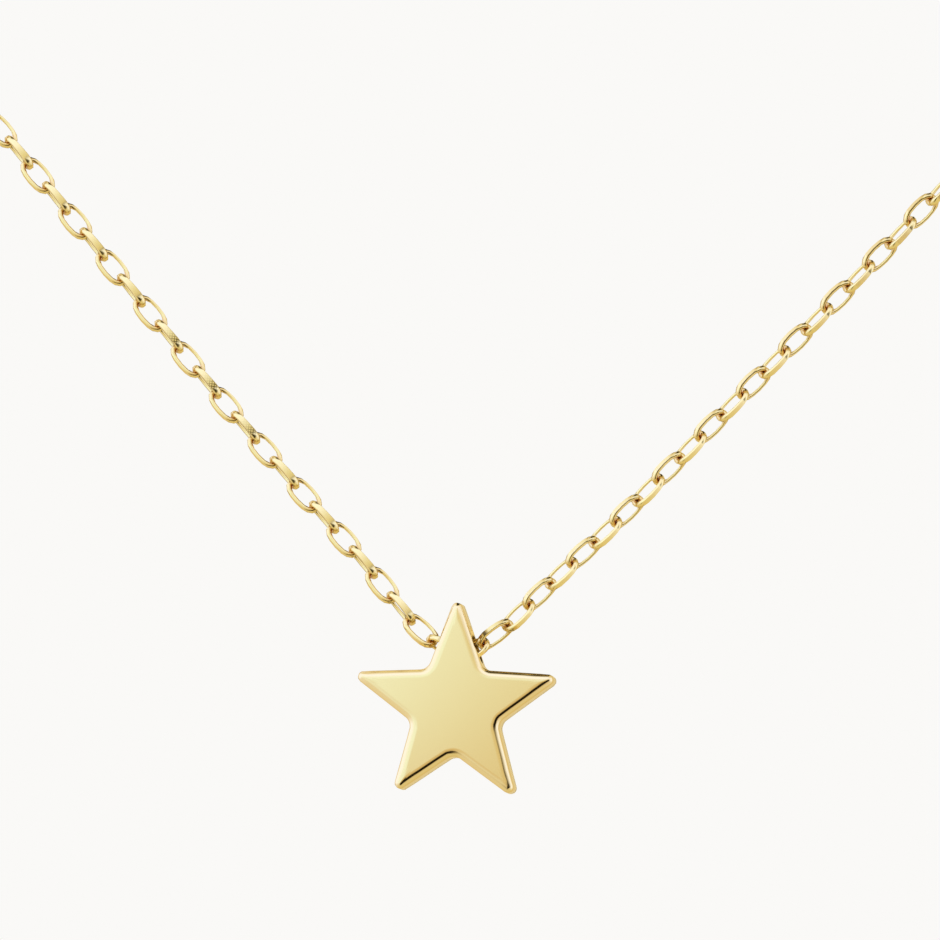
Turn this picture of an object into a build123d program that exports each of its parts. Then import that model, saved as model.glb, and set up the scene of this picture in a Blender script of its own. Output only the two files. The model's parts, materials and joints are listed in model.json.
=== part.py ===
from build123d import *
import math
import os

os.makedirs("parts", exist_ok=True)

# Star pendant on a fine oval cable chain, worn form, in millimetres.
# +Z is up, the star faces -Y, and the origin is the middle of the clasp at the nape of the neck.

# Star outline, measured from the star's centre to its corners before they are rounded
top_point_reach = 6.08
side_point_reach = 5.93
right_leg_reach = 5.86
left_leg_reach = 5.68
upper_notch_reach = 2.46
side_notch_reach = 2.37
lower_notch_reach = 2.40
side_point_bearing = 17.7
leg_bearing = -55.0
tip_radius = 0.30
notch_radius = 0.60

# Star body
star_thickness = 2.55
crown_radius = 70.0
front_edge_radius = 0.27
back_edge_radius = 0.15

# Channel through the top point: a round-ended bore from each side, along the chain's first link. The two
# meet at the swing axis, this high above the star's centre.
channel_height = 2.82
channel_radius = 1.03

# Chain link, an oval of round wire filed flat along both long sides, which bow out past its round ends
wire_diameter = 0.34
link_pitch = 1.56
link_gap = 0.12
link_end_radius = 0.485
side_bow = 0.025
file_depth = 0.07

# Clasp, a plain ring with a collar and an eye on each side, each collar a lip wider than its eye
clasp_ring_radius = 2.05
clasp_wire_diameter = 0.90
collar_lip = 0.03
collar_length = 0.55

# Route of the chain, from the clasp on the left, down to the bottom of the V and up to the clasp on the
# right. Each point is (x, y, z) from the bottom of the V, with y towards the back of the neck.
chain_route = [
    (0.0, 93.4, 75.7),
    (-10.0, 93.1, 75.6),
    (-22.5, 90.0, 75.1),
    (-36.5, 83.0, 73.9),
    (-47.0, 72.5, 71.7),
    (-53.5, 59.5, 68.5),
    (-55.5, 45.5, 64.3),
    (-53.5, 31.5, 58.7),
    (-48.5, 19.0, 52.1),
    (-42.0, 9.6, 44.7),
    (-35.4, 3.6, 38.1),
    (-28.8, 0.8, 31.75),
    (-22.5, 0.0, 24.73),
    (-17.4, 0.0, 18.72),
    (-12.35, 0.0, 12.88),
    (-8.1, 0.0, 8.18),
    (-4.0, 0.0, 3.64),
    (-1.33, 0.0, 0.78),
    (0.0, 0.0, 0.0),
    (1.38, 0.0, 0.72),
    (4.25, 0.0, 3.37),
    (7.75, 0.0, 6.78),
    (11.0, 0.0, 10.14),
    (17.4, 0.0, 16.86),
    (23.7, 0.0, 23.6),
    (30.2, 0.8, 31.0),
    (36.8, 3.6, 37.9),
    (43.0, 9.6, 44.7),
    (49.0, 19.0, 52.1),
    (53.7, 31.5, 58.7),
    (55.5, 45.5, 64.3),
    (53.5, 59.5, 68.5),
    (47.0, 72.5, 71.7),
    (36.5, 83.0, 73.9),
    (22.5, 90.0, 75.1),
    (10.0, 93.1, 75.6),
    (0.0, 93.4, 75.7),
]

# How the links turn about the chain: distance from the bottom of the V, then the roll of the wide links
# on the left and on the right, in degrees from facing forward. The links between are a quarter turn on.
roll_table = [
    (0.0, -32.0, 50.0),
    (4.0, -18.0, 46.0),
    (14.0, -17.0, 43.0),
    (34.0, -17.0, 30.0),
]

# Steps of the route's curve between which a joint is placed, and rounds in which a clasp's eye finds its place
route_steps = 2000
settling_rounds = 4

# Worked out from the sizes above: each link's ends are arcs about two middles on its long axis, and the
# middles of two interlocked ends lie end_spacing apart
end_middle = (link_pitch + link_gap + wire_diameter) / 2 - link_end_radius
end_spacing = 2 * link_end_radius - wire_diameter - link_gap
link_half_width = link_end_radius + side_bow
collar_radius = link_end_radius + wire_diameter / 2 + collar_lip
clasp_reach = clasp_ring_radius + clasp_wire_diameter / 2 + collar_length
bottom_index = min(range(len(chain_route)), key=lambda index: chain_route[index][2])
origin = Vector(*chain_route[-1])


def star_outline():
    """Five points and five notches, all rounded, drawn facing forward about the star's centre."""
    notch_bearing_above = (90 + side_point_bearing) / 2
    notch_bearing_below = (side_point_bearing + leg_bearing) / 2
    corners = [
        (90, top_point_reach),
        (notch_bearing_above, upper_notch_reach),
        (side_point_bearing, side_point_reach),
        (notch_bearing_below, side_notch_reach),
        (leg_bearing, right_leg_reach),
        (-90, lower_notch_reach),
        (180 - leg_bearing, left_leg_reach),
        (180 - notch_bearing_below, side_notch_reach),
        (180 - side_point_bearing, side_point_reach),
        (180 - notch_bearing_above, upper_notch_reach),
    ]
    places = [
        (reach * math.cos(math.radians(bearing)), reach * math.sin(math.radians(bearing)))
        for bearing, reach in corners
    ]
    outline = make_face(Plane.XZ * Polyline(*places, close=True))
    middle = (upper_notch_reach + left_leg_reach) / 2
    tips = [corner for corner in outline.vertices() if corner.center().length > middle]
    outline = fillet(tips, tip_radius)
    notches = [corner for corner in outline.vertices() if corner.center().length < middle]
    return fillet(notches, notch_radius)


def star_body():
    """The outline given its thickness, with a gently crowned face, a flat back and rolled edges."""
    body = extrude(star_outline(), star_thickness / 2, both=True)
    crown = Pos(0, crown_radius - star_thickness / 2, 0) * Sphere(crown_radius)
    body = body & crown
    rims = [edge for edge in body.edges() if edge.bounding_box().size.Y < star_thickness / 2]
    front = [edge for edge in rims if edge.center().Y < 0]
    body = fillet(front, front_edge_radius)
    rims = [edge for edge in body.edges() if edge.center().Y > star_thickness / 2 - back_edge_radius / 2]
    return fillet(rims, back_edge_radius)


def star_pendant(bottom, first_directions):
    """The star hung at the bottom of the V, bored through its top point along the chain's first links."""
    body = Pos(*bottom) * (Pos(0, 0, -channel_height) * star_body())
    body = body - Pos(*bottom) * Sphere(channel_radius)
    for outward in first_directions:
        bore = Plane(origin=bottom, x_dir=(0, 1, 0), z_dir=outward) * Cylinder(
            channel_radius, top_point_reach, align=(Align.CENTER, Align.CENTER, Align.MIN)
        )
        body = body - bore
    return body


def bent_wire(centre, radius, start, turn):
    """A stretch of round wire bent to an arc in the XY plane about a centre."""
    section = Plane(
        origin=(centre[0] + radius, centre[1], 0), x_dir=(1, 0, 0), z_dir=(0, 1, 0)
    ) * Circle(wire_diameter / 2)
    middle = Axis((centre[0], centre[1], 0), (0, 0, 1))
    return revolve(section, middle, turn).rotate(middle, start)


def oval_link():
    """One link about its own middle, long along X and flat in XY, from four tangent arcs of wire."""
    side_radius = (end_middle**2 + link_half_width**2 - link_end_radius**2) / (
        2 * (link_half_width - link_end_radius)
    )
    side_middle = side_radius - link_half_width
    end_turn = math.degrees(math.atan2(side_middle, end_middle))
    side_turn = 180 - 2 * end_turn
    link = bent_wire((end_middle, 0), link_end_radius, -end_turn, 2 * end_turn)
    link = link + bent_wire((0, -side_middle), side_radius, end_turn, side_turn)
    link = link + bent_wire((-end_middle, 0), link_end_radius, 180 - end_turn, 2 * end_turn)
    link = link + bent_wire((0, side_middle), side_radius, 180 + end_turn, side_turn)
    filed_width = 2 * (link_half_width + wire_diameter / 2 - file_depth)
    return link & Box(4 * (end_middle + link_end_radius), filed_width, 2 * wire_diameter)


def joints_along(points):
    """Joints one pitch apart along a smooth route, from its first point to where the clasp begins."""
    route = Spline(*[Vector(*point) for point in points])
    trail = [route @ (step / route_steps) for step in range(route_steps + 1)]
    room_at_clasp = clasp_reach + wire_diameter + 2 * link_gap
    joints = [trail[0]]
    ahead = 0
    for _ in range(int((route.length - room_at_clasp) / link_pitch)):
        while (trail[ahead + 1] - joints[-1]).length < link_pitch:
            ahead += 1
        near = (trail[ahead] - joints[-1]).length
        far = (trail[ahead + 1] - joints[-1]).length
        share = (link_pitch - near) / (far - near)
        joints.append(trail[ahead] + (trail[ahead + 1] - trail[ahead]) * share)
    return joints


def roll_at(distance, column):
    """The roll of a wide link this far from the bottom of the V, read from the table."""
    for below, above in zip(roll_table, roll_table[1:]):
        if distance <= above[0]:
            share = (distance - below[0]) / (above[0] - below[0])
            return below[column] + share * (above[column] - below[column])
    return roll_table[-1][column]


def link_turns(points, side):
    """Each link's long and wide directions on one side of the chain, from the bottom of the V."""
    joints = joints_along(points)
    facing = Vector(0, -1, 0)
    turns = []
    for index, (before, after) in enumerate(zip(joints, joints[1:])):
        along = (after - before).normalized()
        facing = (facing - along * facing.dot(along)).normalized()
        inward = facing.cross(along) * side
        quarter_turn = 90 if index % 2 == 0 else 0
        roll = math.radians(roll_at(index * link_pitch, 1 if side < 0 else 2) + quarter_turn)
        turns.append((along, inward * math.cos(roll) + facing * math.sin(roll)))
    return turns


def meeting_line(before, after):
    """The way from one link's end to the next's, where their two planes cross."""
    line = before[0].cross(before[1]).cross(after[0].cross(after[1])).normalized()
    return line if line.dot(before[0] + after[0]) > 0 else line * -1


def chain_side(turns, first_end):
    """The links of one side, interlocked from a first end's middle on, and the last end's middle."""
    pattern = oval_link()
    near_end = first_end
    links = []
    for turn, following in zip(turns, turns[1:] + [None]):
        along, wide = turn
        place = Plane(origin=near_end + along * end_middle, x_dir=along, z_dir=along.cross(wide))
        links.append(pattern.moved(Location(place)))
        far_end = near_end + along * 2 * end_middle
        if following:
            near_end = far_end + meeting_line(turn, following) * end_spacing
    return links, far_end


def clasp_eye(last_turn, last_end):
    """A collar on the clasp's ring and the loop of wire that stands out of it through the last link."""
    wide = last_turn[1]
    outward = last_end.normalized()
    for _ in range(settling_rounds):
        eye_turn = (outward * -1, outward.cross(wide).normalized())
        bow_middle = last_end + meeting_line(last_turn, eye_turn) * end_spacing
        outward = bow_middle.normalized()
    collar = Plane(origin=outward * clasp_ring_radius, z_dir=outward) * Cylinder(
        collar_radius, clasp_reach - clasp_ring_radius, align=(Align.CENTER, Align.CENTER, Align.MIN)
    )
    bow = bent_wire((bow_middle.length, 0), link_end_radius, -90, 180)
    legs = [
        Pos(clasp_ring_radius, across, 0) * Rot(0, 90, 0) * Cylinder(
            wire_diameter / 2,
            bow_middle.length - clasp_ring_radius,
            align=(Align.CENTER, Align.CENTER, Align.MIN),
        )
        for across in (-link_end_radius, link_end_radius)
    ]
    flat = (wide - outward * wide.dot(outward)).normalized()
    return collar + (bow + legs).moved(Location(Plane(origin=(0, 0, 0), x_dir=outward, z_dir=flat)))


def placed_route(points):
    """Route points moved so that the route's end, at the clasp, is the origin."""
    return [tuple(Vector(*point) - origin) for point in points]


left_route = placed_route(chain_route[bottom_index::-1])
right_route = placed_route(chain_route[bottom_index:])
bottom = Vector(*right_route[0])
left_turns = link_turns(left_route, -1)
right_turns = link_turns(right_route, 1)
backwards = (left_turns[0][0] * -1, left_turns[0][1])
half_gap = meeting_line(backwards, right_turns[0]) * (end_spacing / 2)
left_links, left_end = chain_side(left_turns, bottom - half_gap)
right_links, right_end = chain_side(right_turns, bottom + half_gap)
clasp_ring = Rot(90, 0, 0) * Torus(clasp_ring_radius, clasp_wire_diameter / 2)

nodes = {
    "star_pendant": star_pendant(bottom, [left_turns[0][0], right_turns[0][0]]),
    "chain_left": Compound(left_links),
    "chain_right": Compound(right_links),
    "clasp": clasp_ring + clasp_eye(left_turns[-1], left_end) + clasp_eye(right_turns[-1], right_end),
}
for name, shape in nodes.items():
    export_step(shape, f"parts/{name}.step")
    print(name, len(shape.solids()), "solids", round(shape.volume, 2), "mm3")
round_the_neck = (len(left_links) + len(right_links)) * link_pitch + left_end.length + right_end.length
print("swing axis through", tuple(bottom), "and length round the neck", round(round_the_neck, 1))
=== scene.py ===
"""Looks of the star pendant necklace: a polished star on a filed cable chain that closes in a plain clasp."""
import json
import logging
import math
import random
from dataclasses import dataclass, field
from enum import Enum

import bpy
import numpy as np
from mathutils import Matrix, Vector


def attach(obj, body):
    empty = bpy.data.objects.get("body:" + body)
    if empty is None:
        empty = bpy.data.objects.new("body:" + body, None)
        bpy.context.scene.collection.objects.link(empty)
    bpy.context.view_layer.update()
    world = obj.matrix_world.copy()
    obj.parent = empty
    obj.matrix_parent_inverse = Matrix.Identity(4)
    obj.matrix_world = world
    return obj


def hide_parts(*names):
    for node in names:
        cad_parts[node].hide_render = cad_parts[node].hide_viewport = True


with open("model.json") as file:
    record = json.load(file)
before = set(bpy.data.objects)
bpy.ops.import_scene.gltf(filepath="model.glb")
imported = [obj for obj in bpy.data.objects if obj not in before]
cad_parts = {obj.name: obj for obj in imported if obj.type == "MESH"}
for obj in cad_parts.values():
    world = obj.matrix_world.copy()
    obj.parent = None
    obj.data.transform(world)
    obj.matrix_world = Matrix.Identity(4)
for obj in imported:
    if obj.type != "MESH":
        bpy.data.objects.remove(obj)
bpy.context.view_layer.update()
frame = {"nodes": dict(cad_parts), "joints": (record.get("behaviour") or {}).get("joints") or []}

MM = 0.001
# The middle of the worn loop, in metres
LOOP_MIDDLE_Y = -0.045
# A wire's section has six corners, and its first and last lie on the outer flat
SECTION_CORNERS = 6
OUTER_FLAT = (0, 5)
# A mix node's colour sockets share their names with its other kinds, so they go by number
MIX_FROM = 6
MIX_TO = 7
MIX_RESULT = 2
log = logging.getLogger("star_pendant_necklace")


class Body(Enum):
    """The bodies of the frame that a piece can ride on."""

    CHAIN = "chain"
    PENDANT = "pendant"


class Slot(Enum):
    """The record's material slots."""

    STAR = "polished_gold"
    CHAIN = "filed_gold"
    CLASP = "clasp_gold"


class Side(Enum):
    """The two halves of the chain, as the viewer sees them."""

    LEFT = "chain_left"
    RIGHT = "chain_right"


def linear(hex_colour: str) -> tuple[float, float, float, float]:
    """Turn an sRGB hex colour to linear light.

    Args:
        hex_colour: six hex digits after a hash sign.

    Returns:
        Red, green, blue and an alpha of one.
    """
    channels = [int(hex_colour[start : start + 2], 16) / 255 for start in (1, 3, 5)]
    red, green, blue = [
        channel / 12.92 if channel <= 0.04045 else ((channel + 0.055) / 1.055) ** 2.4 for channel in channels
    ]
    return (red, green, blue, 1.0)


def ramp(value: float, start: float, length: float) -> float:
    """Climb from nought to one as a value passes from a start over a length.

    Args:
        value: the value.
        start: where the ramp leaves nought.
        length: how far on it reaches one, less than nought for a ramp that runs the other way.

    Returns:
        The height on the ramp.
    """
    return min(max((value - start) / length, 0.0), 1.0)


def add_node(
    tree: bpy.types.NodeTree,
    kind: str,
    settings: dict[str, object] | None = None,
    inputs: dict[str | int, object] | None = None,
) -> bpy.types.Node:
    """Add one node with its settings, its constants and its links.

    Args:
        tree: the node tree.
        kind: the node's type name.
        settings: properties of the node itself.
        inputs: by socket, a constant or the output socket to link from.

    Returns:
        The new node.
    """
    node = tree.nodes.new(kind)
    for name, value in (settings or {}).items():
        setattr(node, name, value)
    for name, value in (inputs or {}).items():
        if isinstance(value, bpy.types.NodeSocket):
            tree.links.new(value, node.inputs[name])
        else:
            node.inputs[name].default_value = value
    return node


def deselect() -> None:
    """Select nothing."""
    bpy.ops.object.select_all(action="DESELECT")


def pick(pieces: list[bpy.types.Object]) -> None:
    """Select only some pieces and make the first the active one.

    Args:
        pieces: the pieces.
    """
    deselect()
    for piece in pieces:
        piece.select_set(True)
    bpy.context.view_layer.objects.active = pieces[0]


def edit(piece: bpy.types.Object) -> None:
    """Open a piece's mesh in edit mode."""
    pick([piece])
    bpy.ops.object.mode_set(mode="EDIT")


def close() -> None:
    """Go back to object mode."""
    bpy.ops.object.mode_set(mode="OBJECT")


def join(pieces: list[bpy.types.Object]) -> bpy.types.Object:
    """Join pieces to one.

    Args:
        pieces: the pieces.

    Returns:
        The first, which now holds all of them.
    """
    pick(pieces)
    bpy.ops.object.join()
    return pieces[0]


def settle(piece: bpy.types.Object, name: str) -> bpy.types.Object:
    """Put a piece's place into its mesh, so that its object stands at the origin, and name it.

    Args:
        piece: the finished piece.
        name: its name in the table.

    Returns:
        The piece.
    """
    pick([piece])
    bpy.ops.object.transform_apply(location=True, rotation=True, scale=True)
    piece.name = name
    piece.data.name = name
    return piece


def apply_modifiers(piece: bpy.types.Object) -> None:
    """Apply each modifier of a piece in order.

    Args:
        piece: the piece.
    """
    pick([piece])
    for modifier in list(piece.modifiers):
        bpy.ops.object.modifier_apply(modifier=modifier.name)


@dataclass(frozen=True)
class PolishedGold:
    """Gold-plated silver, buffed to a mirror: it shows the room, with the faintest swirl left by the buff."""

    colour: str = "#EFD99B"
    roughness: float = 0.10
    shiniest_share: float = 0.8
    dullest_share: float = 1.3
    swirl_width_mm: float = 0.35
    swirl_height_mm: float = 0.00025
    swirl_detail: float = 3.0
    swirl_harshness: float = 0.6
    swirl_low: float = 0.3
    swirl_high: float = 0.7

    def material(self, name: str) -> bpy.types.Material:
        """Build the finish.

        Args:
            name: the material's name.

        Returns:
            The material.
        """
        made = bpy.data.materials.new(name)
        made.use_nodes = True
        tree = made.node_tree
        shader = tree.nodes["Principled BSDF"]
        place = add_node(tree, "ShaderNodeTexCoord").outputs["Object"]
        # The buff's swirls are some 0.35 mm across, so the noise turns over 1000 / 0.35 times in a metre
        swirl = add_node(
            tree,
            "ShaderNodeTexNoise",
            inputs={
                "Vector": place,
                "Scale": 1 / (self.swirl_width_mm * MM),
                "Detail": self.swirl_detail,
                "Roughness": self.swirl_harshness,
            },
        )
        spread = add_node(
            tree,
            "ShaderNodeMapRange",
            inputs={
                "Value": swirl.outputs["Fac"],
                "From Min": self.swirl_low,
                "From Max": self.swirl_high,
                "To Min": self.roughness * self.shiniest_share,
                "To Max": self.roughness * self.dullest_share,
            },
        )
        bump = add_node(
            tree,
            "ShaderNodeBump",
            inputs={"Height": swirl.outputs["Fac"], "Strength": 1.0, "Distance": self.swirl_height_mm * MM},
        )
        shader.inputs["Base Color"].default_value = linear(self.colour)
        shader.inputs["Metallic"].default_value = 1.0
        tree.links.new(spread.outputs["Result"], shader.inputs["Roughness"])
        tree.links.new(bump.outputs["Normal"], shader.inputs["Normal"])
        return made


@dataclass(frozen=True)
class FiledGold(PolishedGold):
    """Gold-plated wire, drawn and filed: its flats keep the file's marks, and the insides where the links
    nest carry a painted warm shade for the shade and light bounced between links.
    """

    colour: str = "#F3DE96"
    roughness: float = 0.22
    mark_spacing_mm: float = 0.13
    mark_low: float = 0.2
    mark_high: float = 0.7
    mark_colour: str = "#57461A"
    # A painted warm shade where the links nest, standing in for the shade and light bounced between them
    nest_shade_colour: str = "#C8781F"
    nest_shade_strength: float = 0.8

    def material(self, name: str) -> bpy.types.Material:
        """Build the finish, which reads the links' own filed places and the painted shade where they nest.

        Args:
            name: the material's name.

        Returns:
            The material.
        """
        made = super().material(name)
        tree = made.node_tree
        shader = tree.nodes["Principled BSDF"]
        sheet = add_node(tree, "ShaderNodeUVMap", {"uv_map": "millimetres"}).outputs["UV"]
        filed = add_node(tree, "ShaderNodeAttribute", {"attribute_name": "filed"}).outputs["Fac"]
        nest_shade_mask = add_node(tree, "ShaderNodeAttribute", {"attribute_name": "nest_shade_mask"}).outputs["Fac"]
        # The map is in millimetres, so the strokes lie 0.13 mm apart, as coarse as they need to show, and
        # they cross the flat at 45 degrees both ways
        turns = math.tau / self.mark_spacing_mm * math.sqrt(0.5)
        strokes = []
        for way in ((turns, turns, 0.0), (turns, -turns, 0.0)):
            run = add_node(
                tree, "ShaderNodeVectorMath", {"operation": "DOT_PRODUCT"}, {0: sheet, 1: way}
            ).outputs["Value"]
            strokes.append(add_node(tree, "ShaderNodeMath", {"operation": "SINE"}, {0: run}).outputs[0])
        crossed = add_node(
            tree, "ShaderNodeMath", {"operation": "MAXIMUM"}, {0: strokes[0], 1: strokes[1]}
        ).outputs[0]
        cut = add_node(
            tree,
            "ShaderNodeMapRange",
            inputs={"Value": crossed, "From Min": self.mark_low, "From Max": self.mark_high},
        ).outputs["Result"]
        marks = add_node(tree, "ShaderNodeMath", {"operation": "MULTIPLY"}, {0: cut, 1: filed}).outputs[0]
        # Where the links nest, the colour turns to the painted warm shade
        nest_shade_share = add_node(
            tree, "ShaderNodeMath", {"operation": "MULTIPLY"}, {0: nest_shade_mask, 1: self.nest_shade_strength}
        ).outputs[0]
        painted_nest_shade = add_node(
            tree,
            "ShaderNodeMix",
            {"data_type": "RGBA"},
            {"Factor": nest_shade_share, MIX_FROM: linear(self.colour), MIX_TO: linear(self.nest_shade_colour)},
        ).outputs[MIX_RESULT]
        marked = add_node(
            tree,
            "ShaderNodeMix",
            {"data_type": "RGBA"},
            {"Factor": marks, MIX_FROM: painted_nest_shade, MIX_TO: linear(self.mark_colour)},
        ).outputs[MIX_RESULT]
        tree.links.new(marked, shader.inputs["Base Color"])
        return made


@dataclass(frozen=True)
class MattPaper:
    """Plain paper from a roll: even, pale and without a shine."""

    colour: str = "#F9F7DC"
    roughness: float = 0.9

    def material(self, name: str) -> bpy.types.Material:
        """Build the finish.

        Args:
            name: the material's name.

        Returns:
            The material.
        """
        made = bpy.data.materials.new(name)
        made.use_nodes = True
        shader = made.node_tree.nodes["Principled BSDF"]
        shader.inputs["Base Color"].default_value = linear(self.colour)
        shader.inputs["Roughness"].default_value = self.roughness
        return made


@dataclass
class LinkPlace:
    """Where one link lies: its middle, its two directions and how far outward the wide one looks."""

    middle: Vector
    long: Vector
    wide: Vector
    outwardness: float = 0.0

    def matrix(self) -> Matrix:
        """Work out the matrix that takes the pattern there.

        Returns:
            The matrix, in metres.
        """
        thin = self.long.cross(self.wide)
        turn = Matrix((self.long, self.wide, thin)).transposed().to_4x4()
        return Matrix.Translation(self.middle) @ turn


@dataclass(frozen=True)
class Section:
    """The wire's section at one part of a link, in millimetres: thickness, breadth and outer flat."""

    thickness: float
    breadth: float
    flat: float
    inner_share: float = 0.35

    def blend(self, other: "Section", share: float) -> "Section":
        """The section part of the way to another.

        Args:
            other: the section at a share of one.
            share: how far to go.

        Returns:
            The section there.
        """
        mine = (self.thickness, self.breadth, self.flat)
        theirs = (other.thickness, other.breadth, other.flat)
        return Section(*[a + (b - a) * share for a, b in zip(mine, theirs)])

    def corners(self) -> list[tuple[float, float]]:
        """Work out the section's corners.

        Returns:
            How far outward and sideways from the wire's middle each of the six lies.
        """
        out, side, flat = self.thickness / 2, self.breadth / 2, self.flat / 2
        inner = self.flat * self.inner_share
        return [(out, flat), (0.0, side), (-out, inner), (-out, -inner), (0.0, -side), (out, -flat)]


@dataclass
class CableChain:
    """One side of the chain: interlocked oval links, each with a broad leg on the outside and a thin one."""

    side: Side
    gold: bpy.types.Material
    # The oval of the wire's middle and its sections, in millimetres
    half_length: float = 0.945
    half_width: float = 0.51
    roundness: float = 2.5
    end: Section = Section(0.30, 0.40, 0.16)
    broad_leg: Section = Section(0.205, 0.385, 0.29)
    thin_leg: Section = Section(0.17, 0.21, 0.09)
    # By what share a leg grows towards the star and shrinks away from it
    taper: float = 0.16
    ring_steps: int = 16
    # Where an end gives way to a leg, as sines of the turn round the oval
    leg_start: float = 0.45
    leg_rise: float = 0.45
    # How far into a leg its flat starts to have sharp edges, which reach at least so many millimetres along
    flat_from: float = 0.5
    long_edge: float = 0.1
    # How much painted shade each corner of the section takes where the links nest, round from the outer flat
    painted_nest_shade: tuple[float, ...] = (0.0, 0.4, 1.0, 1.0, 0.4, 0.0)
    # The marked stretch of a broad leg, in millimetres from the link's middle towards the star
    marks_start: float = -0.05
    marks_rise: float = 0.3
    marks_end: float = 0.72
    marks_fall: float = 0.2
    # How far the marks can be shifted on a link, in millimetres, and their strength where they are faintest
    marks_shift: float = 60.0
    marks_faintest: float = 0.7
    # The links that look outward show marks, round one height of the chain, in metres
    filed_from: float = 0.8
    filed_rise: float = 0.12
    filed_height: float = -0.0615
    filed_reach: float = 0.004
    filed_fade: float = 0.0015
    seed: int = 11
    # Corners of the frame's loose triangles closer than this are one, in metres
    merge_distance: float = 2e-7
    places: list[LinkPlace] = field(default_factory=list)

    def read_places(self) -> None:
        """Find each link of the frame's node, measure it and sort the links round from the star."""
        points, faces = self.read_node()
        label = self.label_links(len(points), faces)
        order = np.argsort(label, kind="stable")
        cuts = np.flatnonzero(np.diff(label[order])) + 1
        self.places = [self.measure(points[group]) for group in np.split(order, cuts)]
        self.places.sort(key=lambda place: math.atan2(abs(place.middle.x), LOOP_MIDDLE_Y - place.middle.y))
        self.orient()

    def read_node(self) -> tuple[np.ndarray, np.ndarray]:
        """Read the frame's node with the corners of its loose triangles merged.

        Returns:
            The points, and the numbers of each triangle's three points.
        """
        mesh = frame["nodes"][self.side.value].data
        corners = np.empty(len(mesh.vertices) * 3, np.float32)
        mesh.vertices.foreach_get("co", corners)
        corners = corners.reshape(-1, 3).astype(float)
        cells = np.round(corners / self.merge_distance).astype(np.int64)
        cells -= cells.min(0)
        spans = cells.max(0) + 1
        key = (cells[:, 0] * spans[1] + cells[:, 1]) * spans[2] + cells[:, 2]
        first, merged = np.unique(key, return_index=True, return_inverse=True)[1:]
        faces = np.empty(len(mesh.polygons) * 3, np.int32)
        mesh.loops.foreach_get("vertex_index", faces)
        return corners[first], merged[faces].reshape(-1, 3)

    @staticmethod
    def label_links(count: int, faces: np.ndarray) -> np.ndarray:
        """Give the points of each link one label, by spreading the lowest over its triangles.

        Args:
            count: how many points there are.
            faces: the numbers of each triangle's three points.

        Returns:
            The label of each point.
        """
        label = np.arange(count)
        settled = False
        while not settled:
            lowest = label[faces].min(1)
            spread = label.copy()
            for column in range(3):
                np.minimum.at(spread, label[faces[:, column]], lowest)
            spread = spread[spread]
            settled = bool((spread == label).all())
            label = spread
        return label

    @staticmethod
    def measure(points: np.ndarray) -> LinkPlace:
        """Measure one link.

        Args:
            points: the link's own points.

        Returns:
            Its middle and directions.
        """
        directions = np.linalg.eigh(np.cov(points.T))[1][:, ::-1].T
        along = points @ directions.T
        middle = ((along.min(0) + along.max(0)) / 2) @ directions
        return LinkPlace(Vector(middle), Vector(directions[0]), Vector(directions[1]))

    def orient(self) -> None:
        """Turn each link so that its long side runs towards the star and its broad leg lies outside."""
        before = Vector(frame["joints"][0]["pos_m"])
        facing = Vector((0.0, -1.0, 0.0))
        for place in self.places:
            if place.long.dot(before - place.middle) < 0:
                place.long.negate()
            facing = (facing - place.long * facing.dot(place.long)).normalized()
            if place.wide.dot(facing) < 0:
                place.wide.negate()
            place.outwardness = place.wide.dot(facing)
            before = place.middle

    def pattern(self) -> bpy.types.Object:
        """Model one link about its own middle, long along X, flat in XY and with its broad leg at +Y.

        Returns:
            The link, in millimetres.
        """
        deselect()
        # The plain torus's radii, which tell its corners apart and don't stay
        ring, wire = 1.0, 0.3
        bpy.ops.mesh.primitive_torus_add(
            major_segments=self.ring_steps,
            minor_segments=SECTION_CORNERS,
            major_radius=ring,
            minor_radius=wire,
        )
        link = bpy.context.object
        mesh = link.data
        filed = mesh.attributes.new("filed", "FLOAT", "POINT")
        nest_shade_mask = mesh.attributes.new("nest_shade_mask", "FLOAT", "POINT")
        on_flat = []
        for index, vertex in enumerate(mesh.vertices):
            step = round(math.atan2(vertex.co.y, vertex.co.x) / math.tau * self.ring_steps)
            around = math.atan2(vertex.co.z, math.hypot(vertex.co.x, vertex.co.y) - ring)
            corner = round(around / math.tau * SECTION_CORNERS) % SECTION_CORNERS
            middle, outward, section, leg = self.station(math.tau * step / self.ring_steps)
            out, sideways = section.corners()[corner]
            vertex.co = (middle.x + outward.x * out, middle.y + outward.y * out, sideways)
            on_flat.append(corner in OUTER_FLAT and leg > self.flat_from)
            started = ramp(middle.x, self.marks_start, self.marks_rise)
            lasting = ramp(middle.x, self.marks_end, -self.marks_fall)
            filed.data[index].value = float(on_flat[index] and middle.y > 0) * started * lasting
            # The inner corners at the link's ends, where the next link sits, get painted shade
            nest_shade_mask.data[index].value = self.painted_nest_shade[corner] * (1.0 - leg)
        mesh.shade_smooth()
        sheet = mesh.uv_layers.new(name="millimetres")
        for loop in mesh.loops:
            sheet.data[loop.index].uv = mesh.vertices[loop.vertex_index].co.xz
        for edge in mesh.edges:
            one, other = [mesh.vertices[end].co for end in edge.vertices]
            lengthways = abs(one.x - other.x) > self.long_edge
            edge.use_edge_sharp = lengthways and all(on_flat[end] for end in edge.vertices)
        edit(link)
        bpy.ops.mesh.select_all(action="SELECT")
        bpy.ops.mesh.normals_make_consistent(inside=False)
        close()
        return link

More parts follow.
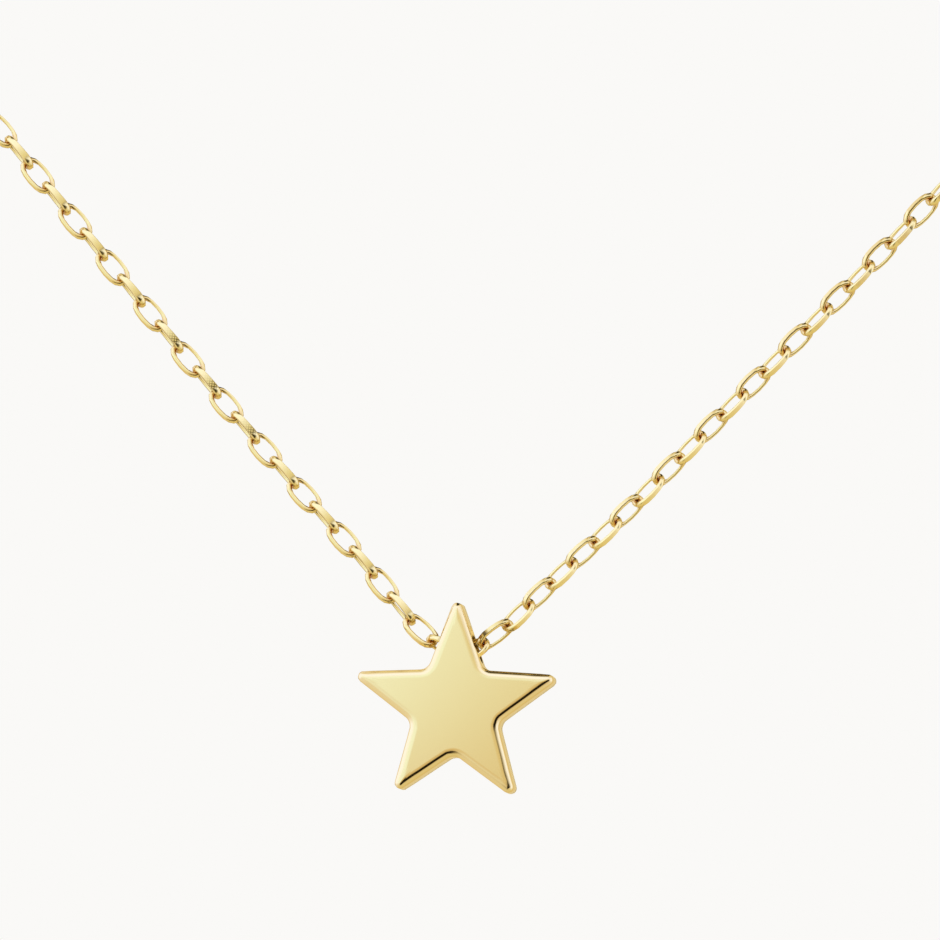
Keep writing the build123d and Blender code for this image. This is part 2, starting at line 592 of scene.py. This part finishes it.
    def station(self, turn: float) -> tuple[Vector, Vector, Section, float]:
        """Work out the wire at one step round the oval.

        Args:
            turn: the step's angle from the end towards the star.

        Returns:
            The wire's middle, its outward direction, its section and how far it belongs to a leg.
        """
        share_x, share_y = math.cos(turn), math.sin(turn)
        power = 2 / self.roundness
        along = math.copysign(abs(share_x) ** power, share_x)
        across = math.copysign(abs(share_y) ** power, share_y)
        slope_x = math.copysign(abs(along) ** (self.roundness - 1), share_x) / self.half_length
        slope_y = math.copysign(abs(across) ** (self.roundness - 1), share_y) / self.half_width
        leg = ramp(abs(share_y), self.leg_start, self.leg_rise)
        section = self.end.blend(self.broad_leg if share_y > 0 else self.thin_leg, leg)
        grown = 1 + self.taper * along * leg
        section = Section(section.thickness, section.breadth * grown, section.flat * grown)
        middle = Vector((self.half_length * along, self.half_width * across))
        return middle, Vector((slope_x, slope_y)).normalized(), section, leg

    def copy_link(self, link: bpy.types.Object, place: LinkPlace, shuffle: random.Random) -> bpy.types.Object:
        """Copy the link to one place, with its own stretch of file marks.

        Args:
            link: the link, in millimetres about its own middle.
            place: where the copy lies.
            shuffle: what draws the stretch and the strength of the marks.

        Returns:
            The copy.
        """
        copy = link.copy()
        copy.data = link.data.copy()
        copy.data.transform(place.matrix() @ Matrix.Scale(MM, 4))
        shift = Vector((shuffle.uniform(0, self.marks_shift), shuffle.uniform(0, self.marks_shift)))
        for corner in copy.data.uv_layers["millimetres"].data:
            corner.uv += shift
        turned = ramp(place.outwardness, self.filed_from, self.filed_rise)
        near = ramp(abs(place.middle.z - self.filed_height), self.filed_reach, -self.filed_fade)
        marked = turned * near * shuffle.uniform(self.marks_faintest, 1.0)
        for point in copy.data.attributes["filed"].data:
            point.value *= marked
        bpy.context.collection.objects.link(copy)
        return copy

    def build(self) -> bpy.types.Object:
        """Copy the link to each place and join the copies to one piece.

        Returns:
            The chain's side.
        """
        self.read_places()
        link = self.pattern()
        shuffle = random.Random(self.seed)
        copies = [self.copy_link(link, place, shuffle) for place in self.places]
        bpy.data.objects.remove(link)
        piece = settle(join(copies), f"{self.side.value}_links")
        piece.data.materials.append(self.gold)
        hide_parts(self.side.value)
        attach(piece, Body.CHAIN.value)
        log.info("%s: %d links, %d faces", piece.name, len(self.places), len(piece.data.polygons))
        return piece

    def way_out(self) -> Vector:
        """Find the direction in which this side leaves the star.

        Returns:
            The long direction of the side's lowest link, upwards.
        """
        first = min(self.places, key=lambda place: place.middle.z)
        return first.long * (1 if first.long.z > 0 else -1)


@dataclass(frozen=True)
class Corner:
    """A corner of the star's outline before it is rounded, in millimetres and degrees about its centre."""

    bearing: float
    reach: float
    radius: float
    is_tip: bool

    def place(self) -> np.ndarray:
        """The corner's X and Z about the star's centre."""
        turn = math.radians(self.bearing)
        return np.array([self.reach * math.cos(turn), self.reach * math.sin(turn)])


@dataclass
class StarPendant:
    """The thick star with a crowned face, rolled edges and a channel for the chain through its top point."""

    gold: bpy.types.Material
    pivot: Vector
    ways_out: list[Vector]
    # The outline's corners from the star's centre and their rounding, in millimetres
    top_point_reach: float = 6.08
    side_point_reach: float = 5.93
    right_leg_reach: float = 5.86
    left_leg_reach: float = 5.68
    upper_notch_reach: float = 2.46
    side_notch_reach: float = 2.37
    lower_notch_reach: float = 2.40
    side_point_bearing: float = 17.7
    leg_bearing: float = -55.0
    tip_radius: float = 0.30
    notch_radius: float = 0.60
    # The crowned face, the rolled front edge, the flat back and the channel, in millimetres
    thickness: float = 2.55
    crown_radius: float = 70.0
    roll_width: float = 0.46
    roll_depth: float = 0.34
    back_edge_radius: float = 0.15
    channel_height: float = 2.82
    channel_radius: float = 1.03
    # How finely each part is modelled
    corner_steps: int = 8
    flank_steps: int = 7
    back_shares: tuple[float, ...] = (0.3, 0.6, 0.85)
    back_edge_turns: tuple[int, ...] = (90, 60, 30, 0)
    roll_turns: tuple[int, ...] = tuple(range(0, 91, 10))
    face_shares: tuple[float, ...] = (0.97, 0.93, 0.88, 0.81, 0.72, 0.61, 0.48, 0.33, 0.17)
    bore_steps: int = 48
    ball_steps: int = 32
    smooth_below_deg: float = 30.0
    # By what share each ring of the plain disc is smaller than the last, which tells the rings apart
    ring_shrink: float = 0.9
    # What counts as the face: past this share of the roll's width, and this close to the crown in millimetres
    past_roll: float = 0.98
    on_crown: float = 0.002

    def corners(self) -> list[Corner]:
        """List the outline's corners, round from the top by the left.

        Returns:
            The ten corners.
        """
        above = (90 + self.side_point_bearing) / 2
        below = (self.side_point_bearing + self.leg_bearing) / 2
        tip, notch = self.tip_radius, self.notch_radius
        return [
            Corner(90, self.top_point_reach, tip, True),
            Corner(180 - above, self.upper_notch_reach, notch, False),
            Corner(180 - self.side_point_bearing, self.side_point_reach, tip, True),
            Corner(180 - below, self.side_notch_reach, notch, False),
            Corner(180 - self.leg_bearing, self.left_leg_reach, tip, True),
            Corner(-90, self.lower_notch_reach, notch, False),
            Corner(self.leg_bearing, self.right_leg_reach, tip, True),
            Corner(below, self.side_notch_reach, notch, False),
            Corner(self.side_point_bearing, self.side_point_reach, tip, True),
            Corner(above, self.upper_notch_reach, notch, False),
        ]

    def outline(self) -> tuple[np.ndarray, np.ndarray]:
        """Walk the rounded outline, with steps along the arms too.

        Returns:
            The points' X and Z, and the outward direction at each.
        """
        corners = self.corners()
        points, normals = [], []
        for index, corner in enumerate(corners):
            here = corner.place()
            before = corners[index - 1].place() - here
            after = corners[(index + 1) % len(corners)].place() - here
            before /= np.linalg.norm(before)
            after /= np.linalg.norm(after)
            half = math.acos(float(before @ after)) / 2
            centre = here + (before + after) / np.linalg.norm(before + after) * corner.radius / math.sin(half)
            start = here + before * corner.radius / math.tan(half) - centre
            end = here + after * corner.radius / math.tan(half) - centre
            if points:
                self.add_flank(points, normals, centre + start)
            sweep = math.atan2(start[0] * end[1] - start[1] * end[0], float(start @ end))
            for step in range(self.corner_steps + 1):
                turn = sweep * step / self.corner_steps
                cosine, sine = math.cos(turn), math.sin(turn)
                spoke = np.array([start[0] * cosine - start[1] * sine, start[0] * sine + start[1] * cosine])
                points.append(centre + spoke)
                normals.append(spoke / corner.radius * (1 if corner.is_tip else -1))
        self.add_flank(points, normals, points[0])
        return np.array(points), np.array(normals)

    def add_flank(self, points: list[np.ndarray], normals: list[np.ndarray], end: np.ndarray) -> None:
        """Step along a straight arm side, from the last point to where the next corner starts.

        Args:
            points: the outline's points so far.
            normals: their outward directions.
            end: where the side ends.
        """
        start, outward = points[-1], normals[-1]
        for step in range(1, self.flank_steps):
            points.append(start + (end - start) * step / self.flank_steps)
            normals.append(outward)

    def rim_distance(self, points: np.ndarray, rim: np.ndarray) -> np.ndarray:
        """Measure how far points lie from the outline.

        Args:
            points: X and Z of each point.
            rim: X and Z of the outline's points, in order round it.

        Returns:
            The distance of each point.
        """
        along = np.roll(rim, -1, axis=0) - rim
        offset = points[:, None] - rim[None]
        share = np.clip((offset * along).sum(2) / (along**2).sum(1), 0, 1)
        return np.linalg.norm(offset - share[..., None] * along, axis=2).min(1)

    def front(self, flat: np.ndarray, rim: np.ndarray) -> np.ndarray:
        """The front's Y: a gentle crown that falls back in a quarter of an ellipse at the rolled edge.

        Args:
            flat: X and Z of each point.
            rim: the outline.

        Returns:
            Y of each point.
        """
        radial = (flat**2).sum(1)
        crown = self.crown_radius - np.sqrt(self.crown_radius**2 - radial)
        share = np.clip(1 - self.rim_distance(flat, rim) / self.roll_width, 0, 1)
        return crown + self.roll_depth * (1 - np.sqrt(1 - share**2)) - self.thickness / 2

    def room(self, rim: np.ndarray, outward: np.ndarray) -> np.ndarray:
        """Measure how far the roll can reach in from each point before it meets another side's.

        Args:
            rim: the outline.
            outward: the outward direction at each of its points.

        Returns:
            The roll's width at each point, as a column.
        """
        # Steps in and the search past the roll's width, in millimetres
        step, past = 0.02, 0.1
        # A point still belongs to its own side while it lies this share of its depth from the outline
        own_side = 0.97
        # The roll takes this share of the room
        taken = 0.85
        room = np.full(len(rim), step)
        for depth in np.arange(2 * step, self.roll_width + past, step):
            inside = self.rim_distance(rim - outward * depth, rim) > own_side * depth
            came_from_outside = room > depth - 1.5 * step
            room = np.where(inside & came_from_outside, depth, room)
        return np.minimum(self.roll_width, room * taken)[:, None]

    def rings(self) -> list[np.ndarray]:
        """Work out the rings of points, from the middle of the back round the edge to the middle of the face.

        Returns:
            X, Y and Z of each ring's points.
        """
        rim, outward = self.outline()
        room = self.room(rim, outward)
        back = self.thickness / 2
        rings = []
        for share in self.back_shares:
            rings.append(((rim - outward * room) * share, np.full(len(rim), back)))
        for turn in self.back_edge_turns:
            inset = self.back_edge_radius * (1 - math.cos(math.radians(turn)))
            lift = self.back_edge_radius * (1 - math.sin(math.radians(turn)))
            rings.append((rim - outward * inset, np.full(len(rim), back - lift)))
        rings.append((rim, (self.front(rim, rim) + back) / 2))
        for turn in self.roll_turns:
            flat = rim - outward * room * (1 - math.cos(math.radians(turn)))
            rings.append((flat, self.front(flat, rim)))
        for share in self.face_shares:
            flat = (rim - outward * room) * share
            rings.append((flat, self.front(flat, rim)))
        return [np.column_stack([flat[:, 0], depth, flat[:, 1]]) for flat, depth in rings]

    def body(self) -> bpy.types.Object:
        """Model the closed star from a disc, ring by ring.

        Returns:
            The star without its channel, in millimetres about its own centre.
        """
        rings = self.rings()
        count = len(rings[0])
        deselect()
        bpy.ops.mesh.primitive_circle_add(vertices=count, radius=1.0, fill_type="NGON")
        star = bpy.context.object
        edit(star)
        bpy.ops.mesh.select_all(action="SELECT")
        for _ in rings[1:]:
            bpy.ops.mesh.extrude_region()
            bpy.ops.transform.resize(
                value=(self.ring_shrink, self.ring_shrink, 1.0), center_override=(0.0, 0.0, 0.0)
            )
        close()
        for vertex in star.data.vertices:
            ring = round(math.log(vertex.co.xy.length) / math.log(self.ring_shrink))
            step = round(math.atan2(vertex.co.y, vertex.co.x) / math.tau * count) % count
            vertex.co = rings[ring][step]
        edit(star)
        # The middle of the face is still selected, and the middle of the back is the one gap
        bpy.ops.mesh.poke()
        bpy.ops.mesh.select_all(action="DESELECT")
        bpy.ops.mesh.select_mode(type="EDGE")
        bpy.ops.mesh.select_non_manifold(extend=False)
        bpy.ops.mesh.edge_face_add()
        bpy.ops.mesh.poke()
        bpy.ops.mesh.select_all(action="SELECT")
        bpy.ops.mesh.normals_make_consistent(inside=False)
        close()
        return star

    def bore(self) -> bpy.types.Object:
        """Model the tool that bores the channel: a round-ended bore from each side, meeting at the pivot.

        Returns:
            The tool, in millimetres about the star's centre.
        """
        deselect()
        pivot = Vector((0.0, 0.0, self.channel_height))
        bpy.ops.mesh.primitive_uv_sphere_add(
            segments=self.ball_steps,
            ring_count=self.ball_steps // 2,
            radius=self.channel_radius,
            location=pivot,
        )
        parts = [bpy.context.object]
        for direction in self.ways_out:
            bpy.ops.mesh.primitive_cylinder_add(
                vertices=self.bore_steps,
                radius=self.channel_radius,
                depth=self.top_point_reach,
                location=pivot + direction * self.top_point_reach / 2,
                rotation=direction.to_track_quat("Z", "Y").to_euler(),
            )
            parts.append(bpy.context.object)
        return join(parts)

    def polish_face(self, star: bpy.types.Object, centre: Vector) -> None:
        """Point the face's normals straight out of its crown, so that no facet shows in the polish.

        Args:
            star: the bored star, in its place.
            centre: the star's centre.
        """
        mesh = star.data
        places = np.array([(vertex.co - centre)[:] for vertex in mesh.vertices]) / MM
        flat = places[:, [0, 2]]
        crown = self.crown_radius - np.sqrt(self.crown_radius**2 - (flat**2).sum(1)) - self.thickness / 2
        inside = self.rim_distance(flat, self.outline()[0]) > self.past_roll * self.roll_width
        on_face = inside & (np.abs(places[:, 1] - crown) < self.on_crown)
        ball = centre + Vector((0.0, self.crown_radius - self.thickness / 2, 0.0)) * MM
        normals = [corner.vector.copy() for corner in mesh.corner_normals]
        for loop in mesh.loops:
            if on_face[loop.vertex_index]:
                normals[loop.index] = (mesh.vertices[loop.vertex_index].co - ball).normalized()
        mesh.normals_split_custom_set(normals)

    def build(self) -> bpy.types.Object:
        """Bore the star, hang it at the pivot and give it its finish.

        Returns:
            The star.
        """
        star = self.body()
        tool = self.bore()
        cut = star.modifiers.new("channel", "BOOLEAN")
        cut.object = tool
        cut.operation = "DIFFERENCE"
        cut.solver = "EXACT"
        cut.use_self = True
        apply_modifiers(star)
        bpy.data.objects.remove(tool)
        centre = self.pivot - Vector((0.0, 0.0, self.channel_height * MM))
        star.data.transform(Matrix.Translation(centre) @ Matrix.Scale(MM, 4))
        pick([star])
        bpy.ops.object.shade_smooth_by_angle(angle=math.radians(self.smooth_below_deg))
        self.polish_face(star, centre)
        piece = settle(star, "star")
        piece.data.materials.append(self.gold)
        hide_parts("star_pendant")
        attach(piece, Body.PENDANT.value)
        log.info("%s: %d faces", piece.name, len(piece.data.polygons))
        return piece


@dataclass
class PhotoCamera:
    """The camera at the photograph's angle, which takes a square frame, in metres but for the sensor."""

    aim: Vector = field(default_factory=lambda: Vector((0.455, -93.4, -66.09)) * MM)
    distance: float = 0.800
    from_right_deg: float = 5.0
    from_below_deg: float = 3.0
    roll_deg: float = 1.19
    frame_width: float = 48.9 * MM
    sensor_width: float = 36.0
    nearest: float = 0.01

    def build(self) -> None:
        """Place the camera and make it the scene's own."""
        turn = math.radians(self.from_right_deg)
        drop = math.radians(self.from_below_deg)
        back = Vector((math.sin(turn) * math.cos(drop), -math.cos(turn) * math.cos(drop), -math.sin(drop)))
        lens = bpy.data.cameras.new("camera")
        lens.sensor_width = self.sensor_width
        lens.lens = self.sensor_width * self.distance / self.frame_width
        lens.clip_start = self.nearest
        camera = bpy.data.objects.new("camera", lens)
        bpy.context.collection.objects.link(camera)
        camera.rotation_mode = "QUATERNION"
        facing = (-back).to_track_quat("-Z", "Y")
        roll = Matrix.Rotation(math.radians(self.roll_deg), 3, back).to_quaternion()
        camera.rotation_quaternion = roll @ facing
        camera.location = self.aim + back * self.distance
        bpy.context.scene.camera = camera


@dataclass(frozen=True)
class Card:
    """A soft-edged card of the studio, far away in one direction, with its light in linear colour."""

    towards: tuple[float, float, float]
    along: tuple[float, float, float]
    half_width_deg: float
    half_height_deg: float
    light: tuple[float, float, float]
    softness: float = 0.5


@dataclass
class Studio:
    """A pale floor and plain soft light all round, with brighter and darker cards for the gold to show."""

    floor_height: float = -0.165
    floor_radius: float = 1.6
    floor_steps: int = 96
    backdrop: str = "#FAF9F7"
    surround: tuple[float, float, float] = (0.85, 0.775, 0.56)
    behind: tuple[float, float, float] = (0.80, 0.65, 0.34)
    # How far back a direction points where the surround starts to turn to the one behind, and where it has
    behind_start: float = -0.2
    behind_full: float = 0.9
    # How far towards a card a direction points where the card is there in full, and at nought it is gone
    ahead_full: float = 0.3
    cards: tuple[Card, ...] = (
        # A pale one at the front left
        Card((-0.68, -0.68, 0.28), (0.6, 0, 1), 34, 42, (1.07, 1.28, 1.6), 0.35),
        # A dimmer, warmer one low at the front right
        Card((0.35, -0.82, -0.45), (1, 0, 0.2), 38, 25, (0.79, 0.64, 0.42), 0.5),
        # Bright ones to the left, high in front and to the right
        Card((-0.97, 0.0, 0.25), (0, 0, 1), 40, 32, (1.22, 1.34, 2.1), 0.7),
        Card((-0.05, -0.62, 0.78), (1, 0, 0), 55, 17, (1.22, 1.34, 2.1), 0.7),
        Card((0.98, -0.1, 0.12), (0, 0, 1), 34, 24, (1.18, 1.28, 1.9), 0.7),
        # Dark ones low at the front right and high behind, for the dark lines along the rolled edges
        Card((0.42, -0.79, -0.44), (0.72, 0, 0.69), 42, 14, (0.012, 0.009, 0.004), 0.35),
        Card((0.14, 0.38, 0.92), (1, 0, 0), 13, 38, (0.03, 0.02, 0.008), 0.3),
    )

    def world(self) -> None:
        """Light the scene from all round with a pale surround and cards, and show a plain backdrop."""
        made = bpy.data.worlds.new("studio")
        made.use_nodes = True
        tree = made.node_tree
        tree.nodes.clear()
        way = add_node(tree, "ShaderNodeTexCoord").outputs["Generated"]
        # The surround is warmer behind the object, as the gold's own glow on a near backdrop is
        depth = add_node(
            tree, "ShaderNodeVectorMath", {"operation": "DOT_PRODUCT"}, {0: way, 1: (0.0, 1.0, 0.0)}
        ).outputs["Value"]
        share = add_node(
            tree,
            "ShaderNodeMapRange",
            {"interpolation_type": "SMOOTHSTEP"},
            {"Value": depth, "From Min": self.behind_start, "From Max": self.behind_full},
        ).outputs["Result"]
        colour = add_node(
            tree,
            "ShaderNodeMix",
            {"data_type": "RGBA"},
            {"Factor": share, MIX_FROM: (*self.surround, 1.0), MIX_TO: (*self.behind, 1.0)},
        ).outputs[MIX_RESULT]
        for card in self.cards:
            colour = self.add_card(tree, way, colour, card)
        seen = add_node(tree, "ShaderNodeBackground", inputs={"Color": linear(self.backdrop)})
        light = add_node(tree, "ShaderNodeBackground", inputs={"Color": colour})
        ray = add_node(tree, "ShaderNodeLightPath").outputs["Is Camera Ray"]
        mixed = add_node(
            tree, "ShaderNodeMixShader", inputs={0: ray, 1: light.outputs[0], 2: seen.outputs[0]}
        )
        add_node(tree, "ShaderNodeOutputWorld", inputs={"Surface": mixed.outputs[0]})
        bpy.context.scene.world = made

    def add_card(
        self, tree: bpy.types.NodeTree, way: bpy.types.NodeSocket, below: bpy.types.NodeSocket, card: Card
    ) -> bpy.types.NodeSocket:
        """Lay one card over what is there already.

        Args:
            tree: the world's node tree.
            way: the direction looked in.
            below: the colour without the card.
            card: the card.

        Returns:
            The colour with the card.
        """
        towards = Vector(card.towards).normalized()
        along = Vector(card.along) - towards * towards.dot(Vector(card.along))
        along.normalize()
        across = towards.cross(along)
        # Each fade has its value, where it starts and ends, and its share of the card before and after
        fades = []
        for axis, half in ((along, card.half_width_deg), (across, card.half_height_deg)):
            offset = add_node(
                tree, "ShaderNodeVectorMath", {"operation": "DOT_PRODUCT"}, {0: way, 1: axis[:]}
            ).outputs["Value"]
            away = add_node(tree, "ShaderNodeMath", {"operation": "ABSOLUTE"}, {0: offset}).outputs[0]
            edge = math.sin(math.radians(half))
            fades.append((away, edge * (1 - card.softness), edge * (1 + card.softness), 1.0, 0.0))
        ahead = add_node(
            tree, "ShaderNodeVectorMath", {"operation": "DOT_PRODUCT"}, {0: way, 1: towards[:]}
        ).outputs["Value"]
        fades.append((ahead, 0.0, self.ahead_full, 0.0, 1.0))
        mask: float | bpy.types.NodeSocket = 1.0
        for value, start, end, before, after in fades:
            share = add_node(
                tree,
                "ShaderNodeMapRange",
                {"interpolation_type": "SMOOTHSTEP"},
                {"Value": value, "From Min": start, "From Max": end, "To Min": before, "To Max": after},
            ).outputs["Result"]
            mask = add_node(tree, "ShaderNodeMath", {"operation": "MULTIPLY"}, {0: mask, 1: share}).outputs[0]
        return add_node(
            tree,
            "ShaderNodeMix",
            {"data_type": "RGBA"},
            {"Factor": mask, MIX_FROM: below, MIX_TO: (*card.light, 1.0)},
        ).outputs[MIX_RESULT]

    def floor(self) -> None:
        """Lay the pale floor well below the star."""
        deselect()
        bpy.ops.mesh.primitive_circle_add(
            vertices=self.floor_steps,
            radius=self.floor_radius,
            fill_type="NGON",
            location=(0.0, LOOP_MIDDLE_Y, self.floor_height),
        )
        floor = settle(bpy.context.object, "floor")
        floor.data.materials.append(MattPaper().material("matt paper, rolled out"))
        # Mirrored in the gold, the floor would draw one hard line round every lower edge
        floor.visible_glossy = False

    def build(self) -> None:
        """Set the surround, the floor and plain colours."""
        self.world()
        self.floor()
        bpy.context.scene.view_settings.view_transform = "Standard"


def main() -> None:
    """Build the necklace and the studio around it in order."""
    logging.basicConfig(level=logging.INFO, format="%(name)s: %(message)s")
    star_gold = PolishedGold().material("gold plate, polished")
    chain_gold = FiledGold().material("gold plate, drawn and filed")
    # The broad legs on the viewer's right are the narrower ones
    right_leg = Section(0.20, 0.36, 0.27)
    chains = [CableChain(Side.LEFT, chain_gold), CableChain(Side.RIGHT, chain_gold, broad_leg=right_leg)]
    for chain in chains:
        chain.build()
    pivot = Vector(frame["joints"][0]["pos_m"])
    StarPendant(star_gold, pivot, [chain.way_out() for chain in chains]).build()
    # Tumbling leaves the plain clasp as bright as the buff leaves the star
    clasp = frame["nodes"]["clasp"]
    clasp.data.materials.clear()
    clasp.data.materials.append(PolishedGold().material("gold plate, tumbled"))
    log.info("clasp: the frame's own solid, refinished")
    Studio().build()
    PhotoCamera().build()


if __name__ == "__main__":
    main()
